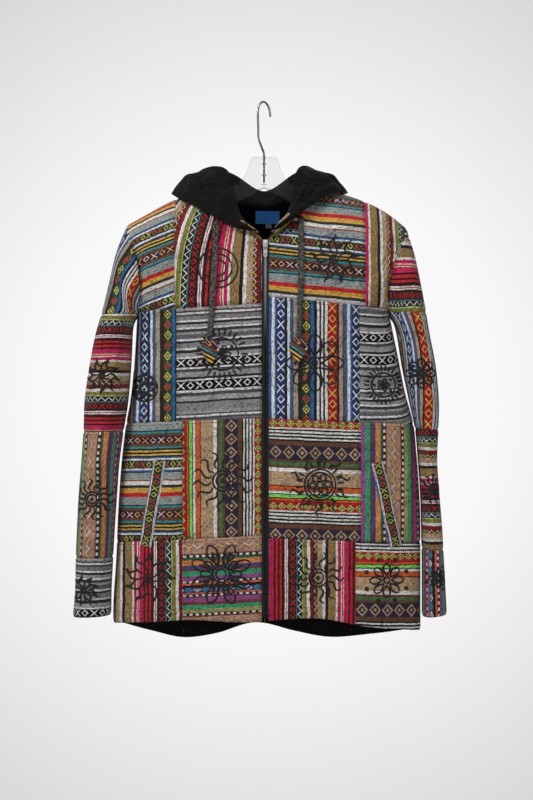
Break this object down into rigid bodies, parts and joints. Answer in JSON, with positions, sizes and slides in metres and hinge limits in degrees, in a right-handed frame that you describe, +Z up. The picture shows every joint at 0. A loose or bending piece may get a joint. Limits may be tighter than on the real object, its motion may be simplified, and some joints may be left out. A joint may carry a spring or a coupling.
{
  "type": "patchwork hooded jacket on a hanger",
  "caption": "Zipped hooded jacket of striped hand-loomed patchwork with black block-printed flowers, hung on a clear plastic hanger with a wire hook.",
  "frame": {"origin": "inside of the hook's bend, where a rail carries the hanger", "axes": "+Z up, -Y out of the jacket's front, +X to the wearer's left"},
  "size_m": [0.657, 0.216, 0.9496],
  "materials": {
    "patchwork": "matte",
    "lining": "matte",
    "label": "satin",
    "size_tab": "satin",
    "tape": "matte",
    "cord": "matte",
    "zip_metal": "polished",
    "wire": "polished",
    "plastic": "clear"
  },
  "bodies": {
    "jacket": {"front_panel_right": "patchwork", "front_panel_left": "patchwork", "back_panel": "patchwork", "sleeve_right_upper": "patchwork", "sleeve_right_lower": "patchwork", "sleeve_right_cuff": "patchwork", "sleeve_left_upper": "patchwork", "sleeve_left_lower": "patchwork", "sleeve_left_cuff": "patchwork", "lining_right": "lining", "lining_left": "lining", "lining_back": "lining", "hood": "patchwork", "hood_lining": "lining", "zip_tape_right": "tape", "zip_tape_left": "tape", "zip_chain": "zip_metal", "zip_slider": "zip_metal", "pocket_welt_right": "patchwork", "pocket_welt_left": "patchwork", "drawstring_right": "cord", "drawstring_tab_right": "patchwork", "drawstring_left": "cord", "drawstring_tab_left": "patchwork", "neck_label": "label", "size_tab": "size_tab", "hanger_frame": "plastic", "hanger_hook": "wire"},
    "pull": {"zip_pull": "zip_metal"}
  },
  "joints": [
    {"name": "zip_pull_hinge", "type": "hinge", "parent": "jacket", "child": "pull", "pos_m": [0.0023, -0.06525, -0.25425], "axis": [-1, 0, 0], "range_deg": [0, 120]}
  ]
}
